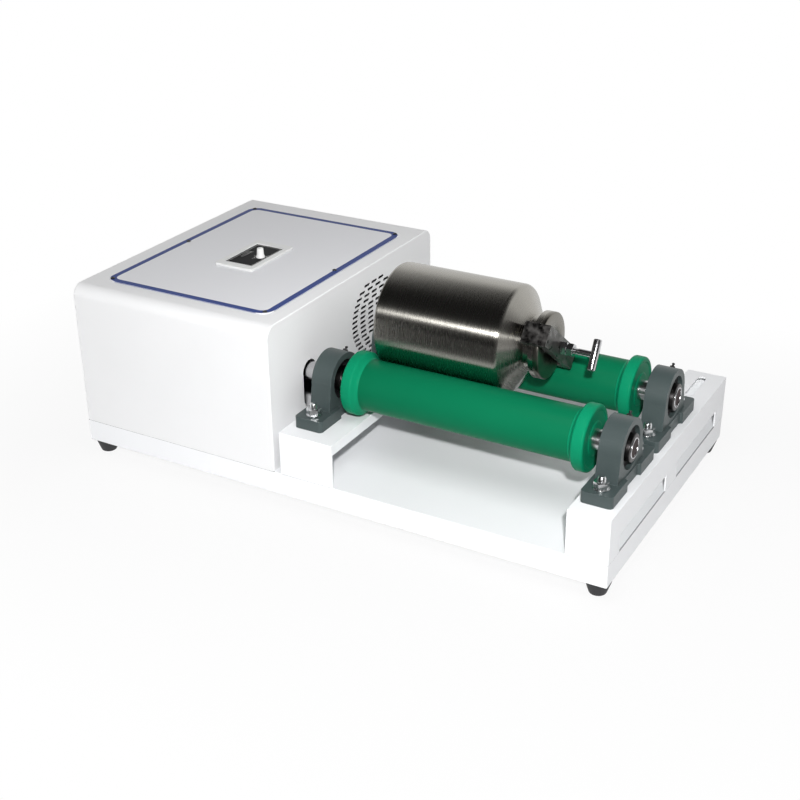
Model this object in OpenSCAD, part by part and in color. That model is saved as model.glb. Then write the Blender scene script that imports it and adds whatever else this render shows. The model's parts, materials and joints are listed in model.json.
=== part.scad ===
// Benchtop roller ball mill: a jar turns on two driven rollers beside its drive cabinet.
// The rollers lie along X, the front is -Y, and the rubber feet stand on Z = 0.

/* [Tray] */
// length of the tray, along the rollers
tray_l = 746; // [720:1:900]
// depth of the tray, front to back
tray_d = 412; // [404:1:520]
// height of the tray's skirt
tray_h = 30; // [24:1:40]
// thickness of the folded sheet
sheet = 2; // [1.5:0.5:3]
// width of the flange folded inwards under the tray
tray_flange = 38; // [36:1:60]

/* [Feet] */
// height of a rubber foot
foot_h = 18; // [12:0.5:24]
// radius of a foot where it meets the tray
foot_r = 16; // [12:0.5:16]
// how much narrower a foot is at the floor
foot_taper = 6; // [1:0.5:7]
// distance from the tray's sides to a foot's middle
foot_inset = 16; // [16:1:22]

/* [Cabinet] */
// length of the drive cabinet
cab_l = 302; // [280:1:340]
// height of the cabinet above the tray
cab_h = 194; // [186:1:240]
// radius of the cabinet's rounded edges
cab_r = 16; // [8:1:24]
// how far below the roller axis the shaft hole reaches
hole_drop = 35; // [10:1:38]
// free space round the shaft in its hole
hole_gap = 2.5; // [2:0.5:8]

/* [Vent] */
// radius of the circle that the vent slots fill
vent_r = 51.6; // [40:0.2:54]
// height from one row of slots to the next
vent_row = 6.9; // [5.5:0.1:9]
// distance between slots in a row
vent_pitch = 20.5; // [18:0.5:26]
// length of a slot
slot_l = 13.5; // [8:0.5:15]
// height of a slot
slot_h = 3.6; // [2:0.2:4]
// distance from the cabinet's front to the vent's middle
vent_y = 252; // [230:1:280]
// height of the vent's middle above the tray's plate
vent_z = 120; // [110:1:125]

/* [Top panel] */
// length of the screwed panel, along X
panel_l = 254; // [200:1:258]
// depth of the screwed panel, along Y
panel_d = 335; // [260:1:350]
// thickness of the panel
panel_t = 1.5; // [1:0.5:3]
// corner radius of the panel
panel_r = 14; // [6:1:20]
// distance from the panel's edge to its screws
screw_in = 7.5; // [7:0.5:14]
// radius of a panel screw's head
screw_r = 3; // [2:0.5:4]

/* [Speed controller] */
// length of the controller's frame, along X
ctl_l = 60; // [54:1:80]
// depth of the controller's frame, along Y
ctl_d = 100; // [80:1:110]
// height of the frame above the panel
ctl_t = 4; // [3:0.5:8]
// width of the frame beside its black face, along X
ctl_edge = 8; // [5:0.5:11]
// width of the frame beyond the ends of its black face, along Y
ctl_end = 12; // [5:0.5:14]
// radius of the knob's skirt
knob_r = 6; // [5:0.5:13]
// height of the knob
knob_h = 13; // [9:0.5:22]

/* [Cross bars] */
// height of the bars above the tray
bar_h = 58.5; // [50:0.5:80]
// width of the bar beside the cabinet
left_bar_w = 76; // [66:1:90]
// width of the bar at the open end
right_bar_w = 52; // [50:1:64]
// gap between the cabinet and the bar beside it
bar_gap = 10; // [6:1:20]
// height of the lip folded down from the left bar
bar_lip = 14; // [8:1:20]
// height of the two windows in the right bar
window_h = 23; // [16:1:30]
// distance from the bar's ends to the windows
window_end = 34; // [24:1:50]
// width of the post between the windows
window_post = 40; // [24:1:60]

/* [Bearing blocks] */
// height of the roller axes above the bars
block_up = 45; // [44.5:0.5:50]
// length of a block's foot
block_l = 136; // [130:1:140]
// width of a block's foot
block_w = 39; // [36:1:42]
// thickness of a block's foot
block_t = 15; // [11:0.5:16]
// radius of the housing round the bearing
house_r = 34.5; // [33:0.5:36]
// width of the housing
house_w = 28; // [24:1:30]
// radius of the bearing's outside
bearing_r = 26; // [24:0.5:28]
// width of the bearing's outer ring
bearing_w = 17; // [14:1:20]
// outside radius of the bearing's inner ring
inner_r = 17; // [15.5:0.5:19]
// length of the bearing's inner ring
inner_l = 34; // [32:1:38]
// angle of the grease nipples from upright, towards the back
nipple_turn = 42; // [0:1:60]
// distance between a block's two bolts
bolt_span = 105; // [103:1:108]
// radius of the bolts
bolt_r = 5; // [4:0.5:5.5]
// distance from the cabinet to the left blocks' middle
left_block_in = 39; // [33:1:46]
// distance from the tray's end to the right blocks' middle
right_block_in = 27; // [25:1:30]

/* [Rollers] */
// distance from the tray's front to the front roller's axis
front_axis = 89; // [82:1:92]
// distance between the two roller axes
axis_span = 146; // [142:1:158]
// radius of a roller's sleeve
sleeve_r = 32.5; // [30:0.5:34]
// radius of the rings that keep the jar on the sleeves
ring_r = 40.5; // [36:0.5:40.5]
// width of a ring
ring_w = 16.5; // [8:0.5:20]
// radius of the steel core in the sleeve
core_r = 26; // [20:0.5:28]
// radius of the shaft's ends
shaft_r = 12.5; // [10:0.5:12.5]
// distance from a block's middle to the nearest ring
ring_gap = 30; // [24:1:38]
// how far the driven shaft reaches into the cabinet
shaft_in = 30; // [10:1:60]

/* [Jar] */
// radius of the jar
jar_r = 67; // [60:0.5:75]
// length of the jar's straight body
jar_l = 165; // [120:1:190]
// wall thickness of the jar
jar_wall = 5; // [3:0.5:8]
// free space between the left rings and the jar
jar_gap = 4; // [3:0.5:30]
// length of the cone from the body to the neck
cone_l = 21; // [16:1:30]
// radius of the rounded edges at the jar's ends
jar_edge = 5; // [3:0.5:6]
// outside radius of the neck
neck_r = 33; // [28:0.5:34]
// radius of the mouth flange and the lid
lid_r = 41; // [40:0.5:44]
// length of the neck behind the flange
neck_l = 9; // [8.5:0.5:14]
// thickness of the mouth flange
flange_t = 7; // [5:0.5:10]
// thickness of the lid
lid_t = 6; // [4:0.5:8]

/* [Lid clamp] */
// thickness of the clamp's bar and of its claws
clamp_t = 9; // [7:0.5:10]
// width of the clamp
clamp_w = 26; // [20:1:30]
// angle of the clamp round the jar's axis
clamp_turn = 37; // [0:1:90]
// radius of the clamp screw
clamp_screw_r = 4; // [3:0.5:5]
// length of the screw beyond the clamp's bar
clamp_reach = 42; // [36:1:50]
// length of the T-handle
tee_l = 38; // [30:1:50]
// radius of the T-handle
tee_r = 5; // [4.5:0.5:6]
// how far the T-handle is turned from upright at rest
tee_turn = 27; // [0:1:90]

/* [Fits] */
// radial running clearance of a shaft in its hole
run_fit = 0.05; // [0.02:0.01:0.1]
// gap between seated pieces on different bodies
seat_gap = 0.3; // [0.2:0.05:0.5]

/* [Hidden] */
$fn = 96;
cut = 1;                                   // how far a cutter runs past a face
plate_z = foot_h + tray_h;                 // top of the tray's plate
bar_z = plate_z + bar_h;                   // top of the cross bars
axis_z = bar_z + block_up;                 // height of the roller axes
left_x = -tray_l / 2;                      // left end of tray and cabinet
right_x = tray_l / 2;                      // right end of the tray
front_y = -tray_d / 2;                     // front of tray and cabinet
cab_x = left_x + cab_l;                    // the cabinet's wall that faces the rollers
cab_z = plate_z + cab_h;                   // top of the cabinet
panel_x = left_x + cab_l / 2 + 2;          // middle of the top panel
panel_y = -5;
panel_z = cab_z + panel_t;                 // top of the top panel
ctl_x = panel_x - 2;                       // middle of the speed controller
ctl_y = panel_y - 8.5;
knob_x = ctl_x + ctl_l / 2 - ctl_edge - 10; // the knob is near the face's right side
knob_y = ctl_y - 3;
left_bar_x = cab_x + bar_gap;
right_bar_x = right_x - right_bar_w;
left_block = cab_x + left_block_in;        // middle of the left blocks
right_block = right_x - right_block_in;    // middle of the right blocks
front_roller_y = front_y + front_axis;
rear_roller_y = front_roller_y + axis_span;
roller_left = left_block + ring_gap;       // outer face of the left rings
roller_right = right_block - ring_gap;     // outer face of the right rings
shaft_end = inner_l / 2 + 1;               // shaft end beyond a block's middle
contact = jar_r + sleeve_r + seat_gap;     // distance from a roller axis to the jar's axis
jar_y = front_roller_y + axis_span / 2;
jar_z = axis_z + sqrt(contact * contact - axis_span * axis_span / 4);
jar_x = roller_left + ring_w + jar_gap;    // bottom of the jar, at its left
cone_x = jar_x + jar_l;                    // where the cone starts
neck_x = cone_x + cone_l;                  // where the neck starts
flange_x = neck_x + neck_l;
lid_x = flange_x + flange_t;
clamp_x = lid_x + lid_t + 4;               // inner face of the clamp's bar
claw_in = lid_r + 2;                       // inner side of the claws
claw_out = claw_in + clamp_t;
nut_t = 8;
nut_r = 8.5;
tee_x = clamp_x + clamp_t + clamp_reach;   // axis of the T-handle

white = [0.93, 0.93, 0.93];
green = [0.03, 0.48, 0.33];
cast = [0.25, 0.30, 0.30];
steel = [0.62, 0.62, 0.63];
stainless = [0.50, 0.49, 0.48];
black = [0.05, 0.05, 0.05];

// which sub-part to draw

// ---- shapes that repeat ----

// a rectangle with round corners, about the origin
module round_rect(l, d, r) {
    square([l - 2 * r, d], center = true);
    square([l, d - 2 * r], center = true);
    for (sx = [-1, 1], sy = [-1, 1])
        translate([sx * (l / 2 - r), sy * (d / 2 - r)]) circle(r);
}

// a bar with two round ends, about the origin, along the first axis
module stadium(l, w) {
    square([l - w, w], center = true);
    for (s = [-1, 1]) translate([s * (l - w) / 2, 0]) circle(w / 2);
}

// lays a flat outline in the plane across X, from x to x + t
module across_x(x, t) {
    translate([x, 0, 0]) rotate([90, 0, 90]) linear_extrude(t) children();
}

// a cylinder along X
module rod_x(r, x_from, x_to, y, z) {
    translate([x_from, y, z]) rotate([0, 90, 0]) cylinder(r = r, h = x_to - x_from);
}

// a tube along X
module tube_x(r, bore, x_from, x_to, y, z) {
    difference() {
        rod_x(r, x_from, x_to, y, z);
        rod_x(bore, x_from - cut, x_to + cut, y, z);
    }
}

// a box that is round along its two long top edges, and flat at its ends
module round_box(l, d, h, r) {
    cube([l, d, h - r]);
    translate([0, r, 0]) cube([l, d - 2 * r, h]);
    for (y = [r, d - r])
        translate([0, y, h - r]) rotate([0, 90, 0]) cylinder(r = r, h = l);
}

// calls its children at every block: [x, y] of the block's middle
module at_blocks() {
    for (x = [left_block, right_block], y = [front_roller_y, rear_roller_y])
        translate([x, y, 0]) children();
}

// ---- tray, feet and cabinet ----

module feet() {
    color(black)
    for (sx = [-1, 1], sy = [-1, 1])
        translate([sx * (right_x - foot_inset), sy * (front_y + foot_inset), 0])
            cylinder(r1 = foot_r - foot_taper, r2 = foot_r, h = foot_h);
}

module tray() {
    color(white)
    difference() {
        translate([left_x, front_y, foot_h]) cube([tray_l, tray_d, tray_h]);
        translate([left_x + sheet, front_y + sheet, foot_h + sheet])
            cube([tray_l - 2 * sheet, tray_d - 2 * sheet, tray_h - 2 * sheet]);
        translate([left_x + tray_flange, front_y + tray_flange, foot_h - cut])
            cube([tray_l - 2 * tray_flange, tray_d - 2 * tray_flange, sheet + 2 * cut]);
    }
}

// the slots of the vent: in each row they are spread evenly between the circle's two sides
module vent_slots() {
    rows = floor(vent_r / vent_row);
    for (k = [-rows:rows]) {
        half = sqrt(vent_r * vent_r - k * k * vent_row * vent_row);
        gaps = max(1, round(2 * half / vent_pitch));
        for (j = [0:gaps])
            translate([-half + 2 * half * j / gaps, k * vent_row]) stadium(slot_l, slot_h);
    }
}

// the upright hole that the driven shaft passes through
module shaft_hole() {
    hole_w = 2 * (shaft_r + hole_gap);
    translate([front_roller_y, axis_z - hole_drop / 2])
        rotate(90) stadium(hole_drop + hole_w, hole_w);
}

module cabinet_cover() {
    color(white)
    difference() {
        translate([left_x, front_y, plate_z]) round_box(cab_l, tray_d, cab_h, cab_r);
        translate([left_x + sheet, front_y + sheet, plate_z - cut])
            round_box(cab_l - 2 * sheet, tray_d - 2 * sheet, cab_h - sheet + cut, cab_r - sheet);
        across_x(cab_x - sheet - cut, sheet + 2 * cut)
            translate([front_y + vent_y, plate_z + vent_z]) vent_slots();
        across_x(cab_x - sheet - cut, sheet + 2 * cut) shaft_hole();
    }
}

module top_panel() {
    color(white)
    translate([panel_x, panel_y, cab_z]) linear_extrude(panel_t) round_rect(panel_l, panel_d, panel_r);
}

module panel_screws() {
    color(steel)
    for (sx = [-1, 1], sy = [-1, 0, 1])
        translate([
            panel_x + sx * (panel_l / 2 - screw_in),
            panel_y + sy * (panel_d / 2 - screw_in),
            panel_z
        ]) cylinder(r = screw_r, h = 1.5);
}

module controller_frame() {
    color(white)
    translate([ctl_x, ctl_y, panel_z]) linear_extrude(ctl_t)
        difference() {
            round_rect(ctl_l, ctl_d, 4);
            square([ctl_l - 2 * ctl_edge, ctl_d - 2 * ctl_end], center = true);
        }
}

module controller_face() {
    color(black)
    translate([ctl_x, ctl_y, panel_z]) linear_extrude(ctl_t - 1.5)
        square([ctl_l - 2 * ctl_edge, ctl_d - 2 * ctl_end], center = true);
}

module speed_knob() {
    color(white)
    translate([knob_x, knob_y, panel_z + ctl_t - 1.5 + seat_gap]) {
        cylinder(r = knob_r, h = 2.5);
        cylinder(r1 = knob_r * 0.85, r2 = knob_r * 0.7, h = knob_h);
    }
}

// ---- cross bars ----

// the flange holes under a block's bolts
module bar_bolt_holes(x) {
    for (y = [front_roller_y, rear_roller_y], s = [-1, 1])
        translate([x, y + s * bolt_span / 2, bar_z - sheet - cut])
            cylinder(r = bolt_r + 0.5, h = sheet + 2 * cut);
}

// the spare slot behind the rear block, for wider jars
module spare_slot(x) {
    slot = 2 * bolt_r + 1;
    slot_from = rear_roller_y + block_l / 2 + 33;
    slot_to = -front_y - 14;
    translate([x, (slot_from + slot_to) / 2, bar_z - sheet - cut])
        linear_extrude(sheet + 2 * cut) rotate(90) stadium(slot_to - slot_from, slot);
}

module left_bar() {
    color(white)
    difference() {
        translate([left_bar_x, front_y, plate_z]) cube([left_bar_w, tray_d, bar_h]);
        translate([left_bar_x + sheet, front_y + sheet, plate_z - cut])
            cube([left_bar_w - 2 * sheet, tray_d - 2 * sheet, bar_h - sheet + cut]);
        translate([left_bar_x + left_bar_w - sheet - cut, front_y + sheet, plate_z - cut])
            cube([sheet + 2 * cut, tray_d - 2 * sheet, bar_h - bar_lip + cut]);
        bar_bolt_holes(left_block);
        spare_slot(left_block);
    }
}

module right_bar() {
    window_d = (tray_d - 2 * window_end - window_post) / 2;
    color(white)
    difference() {
        translate([right_bar_x, front_y, plate_z]) cube([right_bar_w, tray_d, bar_h]);
        translate([right_bar_x - cut, front_y + sheet, plate_z - cut])
            cube([right_bar_w - sheet + cut, tray_d - 2 * sheet, bar_h - sheet + cut]);
        for (y = [front_y + window_end, -front_y - window_end - window_d])
            translate([right_x - sheet - cut, y, plate_z - cut])
                cube([sheet + 2 * cut, window_d, window_h + cut]);
        bar_bolt_holes(right_block);
        spare_slot(right_block);
    }
}

// ---- bearing blocks ----

module housing(x, y) {
    waist = bolt_span / 2 - 2 * bolt_r - 3;
    color(cast)
    difference() {
        union() {
            translate([x, y, bar_z]) linear_extrude(block_t) round_rect(block_w, block_l, 5);
            rod_x(house_r, x - house_w / 2, x + house_w / 2, y, axis_z);
            across_x(x - house_w / 2, house_w)
                translate([y, 0])
                polygon([
                    [-house_r, axis_z], [house_r, axis_z],
                    [waist, bar_z + block_t - cut], [-waist, bar_z + block_t - cut]
                ]);
        }
        rod_x(bearing_r, x - house_w, x + house_w, y, axis_z);
        for (s = [-1, 1]) {
            translate([x, y + s * bolt_span / 2, bar_z - cut])
                linear_extrude(block_t + 2 * cut) rotate(90) stadium(18, 2 * bolt_r + 3);
            translate([x + s * (block_w / 2 + 4), y, bar_z - cut])
                linear_extrude(block_t + 2 * cut) round_rect(16, 42, 3);
        }
    }
}

module bearing(x, y) {
    color(black)
    tube_x(bearing_r - run_fit, inner_r + run_fit, x - bearing_w / 2, x + bearing_w / 2, y, axis_z);
}

module left_front_housing() { housing(left_block, front_roller_y); }
module left_rear_housing() { housing(left_block, rear_roller_y); }
module right_front_housing() { housing(right_block, front_roller_y); }
module right_rear_housing() { housing(right_block, rear_roller_y); }
module left_front_bearing() { bearing(left_block, front_roller_y); }
module left_rear_bearing() { bearing(left_block, rear_roller_y); }
module right_front_bearing() { bearing(right_block, front_roller_y); }
module right_rear_bearing() { bearing(right_block, rear_roller_y); }

// a bolt from under the bar's flange, with washer and nut on the block's foot
module block_bolt() {
    foot_z = bar_z + block_t;
    translate([0, 0, foot_z]) cylinder(r = 2 * bolt_r, h = 2);
    translate([0, 0, foot_z + 2 - 0.01]) cylinder(r = 1.9 * bolt_r, h = 8, $fn = 6);
    translate([0, 0, bar_z - sheet - 6]) cylinder(r = bolt_r, h = block_t + sheet + 6 + 16);
    translate([0, 0, bar_z - sheet - 6.5]) cylinder(r = 1.9 * bolt_r, h = 6.5, $fn = 6);
}

module block_bolts() {
    color(steel)
    at_blocks()
        for (s = [-1, 1]) translate([0, s * bolt_span / 2, 0]) block_bolt();
}

// each nipple stands on the back shoulder of its housing
module grease_nipples() {
    color(steel)
    at_blocks()
        translate([0, 0, axis_z]) rotate([-nipple_turn, 0, 0])
        translate([0, 0, house_r + run_fit]) {
            cylinder(r = 3.4, h = 3, $fn = 6);
            cylinder(r1 = 2.2, r2 = 1.6, h = 7);
        }
}

// ---- rollers ----

module roller_shaft(y, left_end) {
    color(steel)
    union() {
        rod_x(shaft_r, left_end, right_block + shaft_end, y, axis_z);
        rod_x(core_r, roller_left + ring_w, roller_right - ring_w, y, axis_z);
    }
}

module roller_sleeve(y) {
    color(green)
    tube_x(sleeve_r, core_r + run_fit, roller_left + ring_w, roller_right - ring_w, y, axis_z);
}

module roller_rings(y) {
    color(green)
    for (x = [roller_left, roller_right - ring_w])
        tube_x(ring_r, shaft_r + run_fit, x, x + ring_w, y, axis_z);
}

module inner_rings(y) {
    color(steel)
    for (x = [left_block, right_block])
        tube_x(inner_r, shaft_r + run_fit, x - inner_l / 2, x + inner_l / 2, y, axis_z);
}

module front_shaft() { roller_shaft(front_roller_y, cab_x - shaft_in); }
module front_sleeve() { roller_sleeve(front_roller_y); }
module front_rings() { roller_rings(front_roller_y); }
module front_inner_rings() { inner_rings(front_roller_y); }
module rear_shaft() { roller_shaft(rear_roller_y, left_block - shaft_end); }
module rear_sleeve() { roller_sleeve(rear_roller_y); }
module rear_rings() { roller_rings(rear_roller_y); }
module rear_inner_rings() { inner_rings(rear_roller_y); }

// ---- jar and lid clamp ----

// turns an outline of [radius, distance along the axis] round the jar's axis
module turned() {
    translate([0, jar_y, jar_z]) rotate([0, 90, 0]) rotate_extrude() children();
}

module jar_body() {
    mouth_r = neck_r - jar_wall;
    color(stainless)
    turned()
        union() {
            polygon([
                [0, jar_x], [jar_r - jar_edge, jar_x], [jar_r - jar_edge, jar_x + jar_edge],
                [jar_r, jar_x + jar_edge], [jar_r, cone_x], [neck_r, neck_x],
                [neck_r, flange_x], [lid_r, flange_x], [lid_r, lid_x],
                [mouth_r, lid_x], [mouth_r, neck_x], [jar_r - jar_wall, cone_x - jar_wall / 2],
                [jar_r - jar_wall, jar_x + jar_wall + 1], [0, jar_x + jar_wall + 1]
            ]);
            intersection() {
                translate([jar_r - jar_edge, jar_x + jar_edge]) circle(jar_edge);
                translate([jar_r - jar_edge, jar_x]) square(jar_edge + cut);
            }
        }
}

module jar_lid() {
    color(stainless)
    union() {
        rod_x(lid_r, lid_x, lid_x + lid_t, jar_y, jar_z);
        rod_x(neck_r - jar_wall - 0.5, lid_x - 8, lid_x + 1, jar_y, jar_z);
    }
}

// calls its children in the clamp's own frame: Y along the bar, the jar's axis at the origin
module in_clamp() {
    translate([0, jar_y, jar_z]) rotate([-clamp_turn, 0, 0]) children();
}

module clamp_yoke() {
    hook_x = flange_x - seat_gap - 6;
    color(stainless)
    difference() {
        in_clamp() {
            translate([clamp_x, -claw_out, -clamp_w / 2]) cube([clamp_t, 2 * claw_out, clamp_w]);
            for (s = [-1, 1]) {
                translate([hook_x, s * (claw_in + claw_out) / 2 - clamp_t / 2, -clamp_w / 2])
                    cube([clamp_x - hook_x + cut, clamp_t, clamp_w]);
                translate([hook_x, s * (claw_in - 2) - 4, -clamp_w / 2])
                    cube([6, 8, clamp_w]);
            }
        }
        rod_x(neck_r + 2, hook_x - cut, hook_x + 6 + cut, jar_y, jar_z);
        rod_x(clamp_screw_r + run_fit, clamp_x - cut, clamp_x + clamp_t + cut, jar_y, jar_z);
    }
}

module clamp_fixed_nut() {
    nut_x = clamp_x + clamp_t;
    color(steel)
    difference() {
        translate([nut_x, jar_y, jar_z]) rotate([0, 90, 0]) cylinder(r = nut_r, h = nut_t, $fn = 6);
        rod_x(clamp_screw_r + run_fit, nut_x - cut, nut_x + nut_t + cut, jar_y, jar_z);
    }
}

module clamp_screw() {
    nut_x = clamp_x + clamp_t + nut_t + seat_gap;
    color(steel)
    union() {
        rod_x(clamp_screw_r, lid_x + lid_t + seat_gap, tee_x, jar_y, jar_z);
        rod_x(9, lid_x + lid_t + seat_gap, lid_x + lid_t + 3, jar_y, jar_z);
        translate([nut_x, jar_y, jar_z]) rotate([0, 90, 0]) cylinder(r = nut_r, h = nut_t, $fn = 6);
    }
}

module tee_handle() {
    color(steel)
    difference() {
        translate([tee_x, jar_y, jar_z]) rotate([-tee_turn, 0, 0])
            translate([0, 0, -tee_l / 2]) cylinder(r = tee_r, h = tee_l);
        rod_x(clamp_screw_r, tee_x - tee_r - cut, tee_x, jar_y, jar_z);
    }
}

feet();
tray();
cabinet_cover();
top_panel();
panel_screws();
controller_frame();
controller_face();
speed_knob();
left_bar();
right_bar();
left_front_housing();
left_rear_housing();
right_front_housing();
right_rear_housing();
left_front_bearing();
left_rear_bearing();
right_front_bearing();
right_rear_bearing();
block_bolts();
grease_nipples();
front_shaft();
front_sleeve();
front_rings();
front_inner_rings();
rear_shaft();
rear_sleeve();
rear_rings();
rear_inner_rings();
jar_body();
jar_lid();
clamp_yoke();
clamp_fixed_nut();
clamp_screw();
tee_handle();
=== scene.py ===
"""Looks of a two-roller bench jar mill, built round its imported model. Metres, in the model's own frame."""

import json
from math import atan2, cos, pi, radians, sin, sqrt, tan

import bmesh
import bpy
from mathutils import Matrix, Vector

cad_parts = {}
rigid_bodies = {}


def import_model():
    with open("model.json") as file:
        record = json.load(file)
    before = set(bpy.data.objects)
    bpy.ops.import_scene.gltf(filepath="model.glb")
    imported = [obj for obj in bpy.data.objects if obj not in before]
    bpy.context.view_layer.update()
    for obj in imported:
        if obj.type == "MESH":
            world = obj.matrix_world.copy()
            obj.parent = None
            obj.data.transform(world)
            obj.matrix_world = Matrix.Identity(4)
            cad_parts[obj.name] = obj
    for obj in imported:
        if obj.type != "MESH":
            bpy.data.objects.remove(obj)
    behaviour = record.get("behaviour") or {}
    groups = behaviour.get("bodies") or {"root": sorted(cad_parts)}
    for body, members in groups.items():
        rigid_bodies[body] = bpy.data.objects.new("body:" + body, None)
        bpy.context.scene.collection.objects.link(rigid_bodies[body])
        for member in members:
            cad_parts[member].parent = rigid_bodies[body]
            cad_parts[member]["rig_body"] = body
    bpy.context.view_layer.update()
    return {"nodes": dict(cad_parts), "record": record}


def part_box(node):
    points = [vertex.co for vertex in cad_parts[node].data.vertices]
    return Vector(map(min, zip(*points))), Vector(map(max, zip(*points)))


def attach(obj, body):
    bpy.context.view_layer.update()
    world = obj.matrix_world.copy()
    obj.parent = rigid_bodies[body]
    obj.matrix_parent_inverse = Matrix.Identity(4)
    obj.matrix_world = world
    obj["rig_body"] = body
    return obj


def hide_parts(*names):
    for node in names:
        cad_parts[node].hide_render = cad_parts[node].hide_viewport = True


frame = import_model()
MM = 0.001
CAD = frame["nodes"]
scene = bpy.context.scene


# ---- sizes that no node's box gives, in mm ----

COVER_BEND = 16
PANEL_CORNER = 14
SHAFT_RADIUS = 12.5
CORE_RADIUS = 26             # the tube inside a roller's sleeve
INNER_RING_RADIUS = 17
HOUSING_RADIUS = 34.5
NIPPLE_LEAN = radians(42)    # towards the back
BOLT_RADIUS = 5
BOLT_STANDS = 16             # from the flange to the bolt's end
NECK_RADIUS = 33
NECK_LENGTH = 9
CONE_LENGTH = 21
FLANGE_THICK = 7
JAR_WALL = 5
LID_THICK = 6                # without the plug that fills the mouth
CLAMP_NUT_THICK = 8
CLAMP_SCREW_RADIUS = 4
TEE_HALF = 19
TEE_LEAN = radians(27)       # towards the back

# the speed dial: its first mark, and how far it runs clockwise
DIAL_START, DIAL_SWEEP = radians(225), radians(270)
DIAL_STEPS, DIAL_NUMBERS = 30, 5

# how bright the room is in front, behind and to the left, and overhead
FRONT_LIGHT, BACK_LIGHT, CEILING_LIGHT = 0.14, 0.80, 0.05

CABINET_WHITE = (0.82, 0.823, 0.83)
TRAY_WHITE = (0.86, 0.868, 0.885)


# ---- workshop: how a piece is made and placed ----

# turns X, the axis that outlines are turned about, to another way
ALONG = Matrix.Identity(4)
UP = Matrix.Rotation(-pi / 2, 4, "Y")


def body_of(node):
    """the moving body that a CAD node belongs to"""
    return CAD[node]["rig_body"]


def shade(mesh, crease=35):
    """smooth shading, with edges sharper than the crease angle left crisp"""
    mesh.polygons.foreach_set("use_smooth", [True] * len(mesh.polygons))
    mesh.set_sharp_from_angle(angle=radians(crease))


def finished(bm, name, slot, stands_for=(), body=None, crease=35, even=False, look=None):
    """writes bm as a piece with its finish, sets the body it rides on, and hides the nodes it stands for"""
    mesh = bpy.data.meshes.new(name)
    bm.to_mesh(mesh)
    bm.free()
    shade(mesh, crease)
    piece = bpy.data.objects.new(name, mesh)
    scene.collection.objects.link(piece)
    mesh.materials.append(FINISH[look or slot])
    if even:
        piece.modifiers.new("even shading", "WEIGHTED_NORMAL").keep_sharp = True
    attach(piece, body or body_of(stands_for[0]))
    if stands_for:
        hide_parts(*stands_for)
    return piece


def join(bm, part, place=None):
    """moves a part into place and adds it to bm"""
    if place is not None:
        bmesh.ops.transform(part, matrix=place, verts=part.verts)
    spare = bpy.data.meshes.new("part")
    part.to_mesh(spare)
    part.free()
    bm.from_mesh(spare)
    bpy.data.meshes.remove(spare)


def ease_corners(part, eased, segments):
    """rounds the corners of a flat outline, each by its own distance"""
    for width in sorted(set(eased.values())):
        corners = [v for v, w in eased.items() if w == width]
        bmesh.ops.bevel(part, geom=corners, offset=width, offset_type="OFFSET", affect="VERTICES",
                        segments=segments, profile=0.5, material=-1, clamp_overlap=True)


def turned(bm, outline, at, way=ALONG, steps=64, segments=3):
    """adds a solid turned from (distance, radius, ease) corners, in mm, about an axis from `at`"""
    part = bmesh.new()
    corners, eased = [], {}
    for distance, radius, *ease in outline:
        corner = part.verts.new((distance * MM, 0, radius * MM))
        corners.append(corner)
        if ease:
            eased[corner] = ease[0] * MM
    part.faces.new(corners)
    ease_corners(part, eased, segments)
    bmesh.ops.delete(part, geom=part.faces[:], context="FACES_ONLY")
    inner = [e for e in part.edges if max(v.co.z for v in e.verts) < 1e-7]
    bmesh.ops.delete(part, geom=inner, context="EDGES")
    bmesh.ops.spin(part, geom=part.verts[:] + part.edges[:], cent=(0, 0, 0), axis=(1, 0, 0),
                   angle=2 * pi, steps=steps, use_merge=True)
    bmesh.ops.remove_doubles(part, verts=part.verts, dist=1e-6)
    bmesh.ops.recalc_face_normals(part, faces=part.faces)
    join(bm, part, Matrix.Translation(at) @ way)


def thread(start, end, radius, pitch=1.5):
    """the outline of a thread: crests and roots between two distances"""
    count = int((end - start) / pitch)
    root = radius - 0.45 * pitch
    points = []
    for turn in range(count):
        points += [(start + turn * pitch, root), (start + (turn + 0.5) * pitch, radius)]
    return points + [(start + count * pitch, root)]


def nut(bm, at, across, height, bore, way=UP, chamfer_both=False):
    """adds a hexagon nut: a chamfered blank cut to six flats, so that each flat has its arc"""
    flat, corner = across / 2, across / 2 / cos(pi / 6)
    flat_top = 0.93 * flat
    part = bmesh.new()
    outline = [(0, bore), (0, corner), (height, corner), (height, flat_top), (height, bore + 0.5),
               (height - 0.5, bore)]
    if chamfer_both:
        outline[1:2] = [(0, flat_top), (0, corner)]
    turned(part, outline, (0, 0, 0), steps=48)
    for v in part.verts:
        radius = sqrt(v.co.y ** 2 + v.co.z ** 2)
        if radius < (flat_top + 0.005 * flat) * MM:
            continue
        angle = atan2(v.co.z, v.co.y) % (pi / 3)
        reach = flat * MM / cos(angle - pi / 6)
        drop = max(0, reach - flat_top * MM) * tan(pi / 6)
        v.co.y *= reach / radius
        v.co.z *= reach / radius
        if v.co.x > height * MM / 2:
            v.co.x = height * MM - drop
        elif chamfer_both:
            v.co.x = drop
    join(bm, part, Matrix.Translation(at) @ way)


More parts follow.
